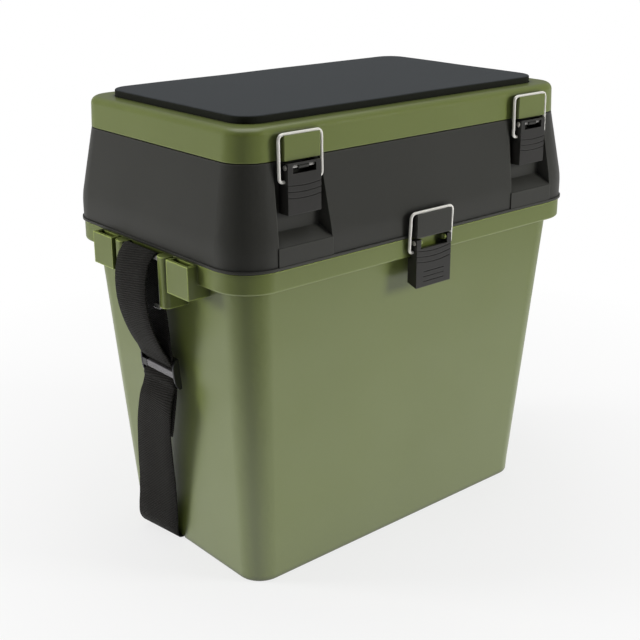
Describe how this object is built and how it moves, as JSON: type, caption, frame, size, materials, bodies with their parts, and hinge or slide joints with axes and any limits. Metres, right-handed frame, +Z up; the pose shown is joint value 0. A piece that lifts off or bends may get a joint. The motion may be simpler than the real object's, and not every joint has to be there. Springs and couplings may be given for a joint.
{
  "type": "fishing seat box",
  "caption": "Seat box with a tapered tub, a hinged tray box and lid held by wire-bail latches, a foam seat pad, lift-out trays and a webbing carry strap.",
  "frame": {"origin": "centre of the base on the floor", "axes": "+Z up, X along the long side, the latches face -Y and the hinges are at +Y"},
  "size_m": [0.4194, 0.2623, 0.39],
  "materials": {
    "tub": "satin moulded plastic, olive green",
    "tray_box": "satin moulded plastic, charcoal",
    "lid": "satin moulded plastic, olive green",
    "seat_pad": "closed-cell foam, fine matt skin",
    "tray": "satin moulded plastic",
    "lever": "satin moulded plastic, charcoal",
    "wire": "polished steel wire",
    "pin": "plain steel",
    "webbing": "ribbed woven webbing, black",
    "adjuster": "black plastic slider with a grey bar"
  },
  "bodies": {
    "tub": {"tub": "tub", "tub_latch_pins": "pin", "tray_box_hinge_pin_left": "pin", "tray_box_hinge_pin_right": "pin", "strap_bar_left": "wire", "strap_bar_right": "wire", "carry_strap": "webbing", "strap_adjuster_left": "adjuster", "strap_adjuster_right": "adjuster"},
    "tray_box": {"tray_box": "tray_box", "lid_hinge_pin_left": "pin", "lid_hinge_pin_right": "pin", "lid_latch_pin_left": "pin", "lid_latch_pin_right": "pin"},
    "lid": {"lid": "lid", "seat_pad": "seat_pad"},
    "lift_tray_left": {"lift_tray_left": "tray"},
    "lift_tray_right": {"lift_tray_right": "tray"},
    "lid_latch_lever_left": {"lid_latch_lever_left": "lever"},
    "lid_latch_lever_right": {"lid_latch_lever_right": "lever"},
    "lid_latch_bail_left": {"lid_latch_bail_left": "wire"},
    "lid_latch_bail_right": {"lid_latch_bail_right": "wire"},
    "tub_latch_lever": {"tub_latch_lever": "lever"},
    "tub_latch_bail": {"tub_latch_bail": "wire"}
  },
  "joints": [
    {"name": "tray_box_hinge", "type": "hinge", "parent": "tub", "child": "tray_box", "pos_m": [0, 0.1282, 0.2796], "axis": [-1, 0, 0], "range_deg": [0, 95]},
    {"name": "lid_hinge", "type": "hinge", "parent": "tray_box", "child": "lid", "pos_m": [0, 0.1178, 0.3588], "axis": [-1, 0, 0], "range_deg": [0, 100]},
    {"name": "tub_latch_hinge", "type": "hinge", "parent": "tub", "child": "tub_latch_lever", "pos_m": [0, -0.1263, 0.2756], "axis": [-1, 0, 0], "range_deg": [0, 90]},
    {"name": "tub_latch_bail_hinge", "type": "hinge", "parent": "tub_latch_lever", "child": "tub_latch_bail", "pos_m": [0, -0.1244, 0.2676], "axis": [1, 0, 0], "range_deg": [0, 265]},
    {"name": "lid_latch_hinge_left", "type": "hinge", "parent": "tray_box", "child": "lid_latch_lever_left", "pos_m": [-0.1295, -0.1173, 0.3543], "axis": [-1, 0, 0], "range_deg": [0, 95]},
    {"name": "lid_latch_bail_hinge_left", "type": "hinge", "parent": "lid_latch_lever_left", "child": "lid_latch_bail_left", "pos_m": [-0.1295, -0.1156, 0.3436], "axis": [1, 0, 0], "range_deg": [0, 275]},
    {"name": "lift_tray_slide_left", "type": "slide", "parent": "tray_box", "child": "lift_tray_left", "axis": [0, 0, 1], "range_m": [0, 0.06]},
    {"name": "lid_latch_hinge_right", "type": "hinge", "parent": "tray_box", "child": "lid_latch_lever_right", "pos_m": [0.1295, -0.1173, 0.3543], "axis": [-1, 0, 0], "range_deg": [0, 95]},
    {"name": "lid_latch_bail_hinge_right", "type": "hinge", "parent": "lid_latch_lever_right", "child": "lid_latch_bail_right", "pos_m": [0.1295, -0.1156, 0.3436], "axis": [1, 0, 0], "range_deg": [0, 275]},
    {"name": "lift_tray_slide_right", "type": "slide", "parent": "tray_box", "child": "lift_tray_right", "axis": [0, 0, 1], "range_m": [0, 0.06]}
  ],
  "couplings": [
    {"joint": "tub_latch_hinge", "follows": "tray_box_hinge", "ratio": 0.94737},
    {"joint": "tub_latch_bail_hinge", "follows": "tray_box_hinge", "ratio": 2.7895},
    {"joint": "lid_latch_hinge_left", "follows": "lid_hinge", "ratio": 0.95},
    {"joint": "lid_latch_bail_hinge_left", "follows": "lid_hinge", "ratio": 2.75},
    {"joint": "lift_tray_slide_left", "follows": "lid_hinge", "m_per_rad": 0.034376},
    {"joint": "lid_latch_hinge_right", "follows": "lid_hinge", "ratio": 0.95},
    {"joint": "lid_latch_bail_hinge_right", "follows": "lid_hinge", "ratio": 2.75},
    {"joint": "lift_tray_slide_right", "follows": "lid_hinge", "m_per_rad": 0.034376}
  ]
}
